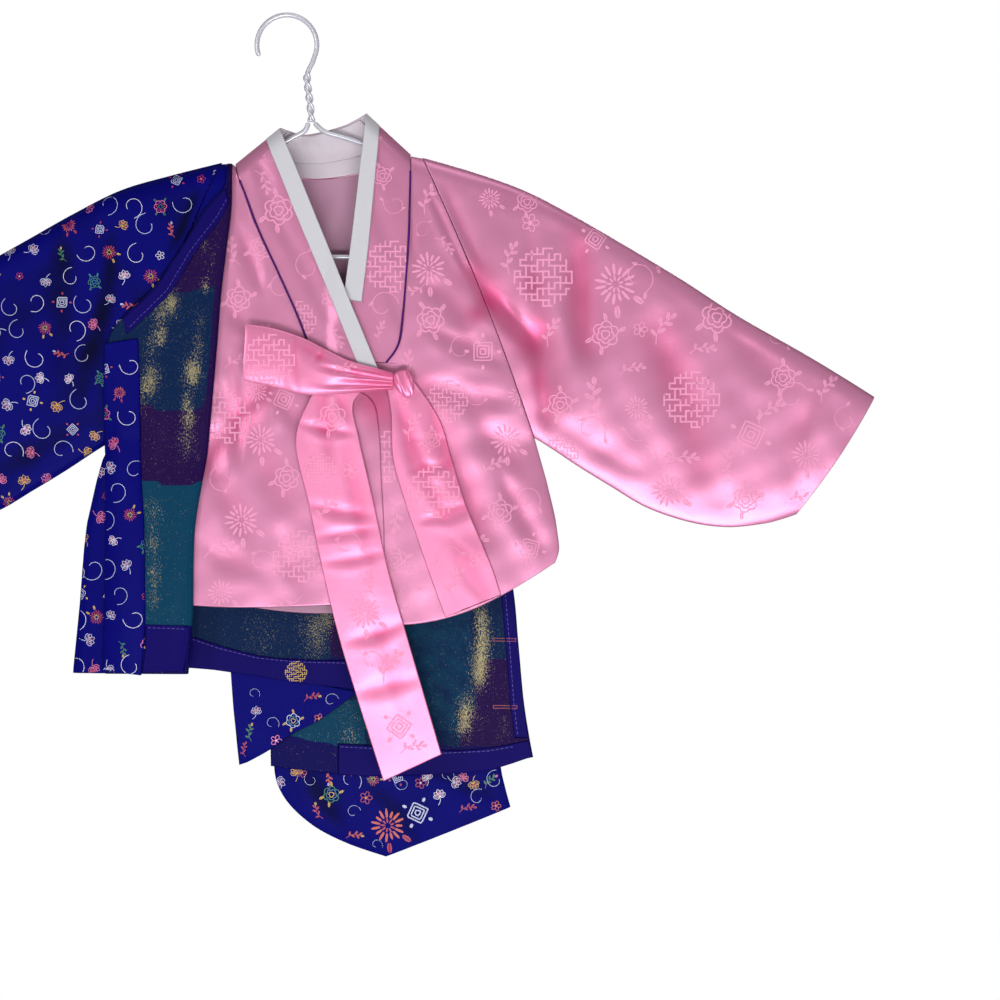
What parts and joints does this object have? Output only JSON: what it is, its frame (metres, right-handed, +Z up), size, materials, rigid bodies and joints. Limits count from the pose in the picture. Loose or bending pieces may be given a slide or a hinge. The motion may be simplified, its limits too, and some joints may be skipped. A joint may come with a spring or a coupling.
{
  "type": "child's korean jacket and overcoat on a wire hanger",
  "caption": "Child's wrapped satin jacket with a ribbon bow, and a brocade overcoat slipped off one side, hanging on a wire hanger.",
  "frame": {"origin": "inside top of the hanger's hook, where a rail or nail holds it", "axes": "+Z up, +X to the right of someone looking at the front, the front faces -Y"},
  "size_m": [0.8872, 0.0544, 0.6779],
  "materials": {
    "satin": "pink satin damask with woven tone-on-tone motifs",
    "ribbon": "lighter pink satin ribbon",
    "white_band": "crisp matt white cotton",
    "neck_satin": "silvery white satin",
    "piping": "dark purple cord",
    "brocade": "royal blue satin brocade with coloured woven flowers",
    "lining": "sheer teal and purple striped lining with gold threads",
    "violet": "blue violet facing with stitched lines",
    "wire": "white plastic coated wire"
  },
  "bodies": {
    "root": {"jeogori_front_left": "satin", "jeogori_front_right": "satin", "jeogori_back": "satin", "sleeve_right_front": "satin", "sleeve_right_back": "satin", "sleeve_left_front": "satin", "sleeve_left_back": "satin", "collar_right": "satin", "collar_left": "satin", "collar_back": "satin", "goreum_tail_long": "ribbon", "goreum_tail_short": "ribbon", "goreum_loop": "ribbon", "goreum_knot": "ribbon", "dongjeong_right": "white_band", "dongjeong_left": "white_band", "dongjeong_back": "white_band", "neck_facing": "neck_satin", "piping_right": "piping", "piping_left": "piping", "coat_front_edge": "brocade", "coat_facing_neck": "brocade", "coat_sleeve_left_front": "brocade", "coat_sleeve_left_back": "brocade", "coat_flap": "brocade", "coat_sleeve_right_front": "brocade", "coat_sleeve_right_back": "brocade", "coat_front_left": "lining", "coat_back": "lining", "coat_front_right": "lining", "coat_facing_hem_left": "violet", "coat_facing_hem_back": "violet", "coat_facing_edge_right": "violet", "coat_facing_hem_right": "violet", "hanger_hook": "wire", "hanger_arm_left": "wire", "hanger_arm_right": "wire", "hanger_bar": "wire"}
  },
  "joints": []
}
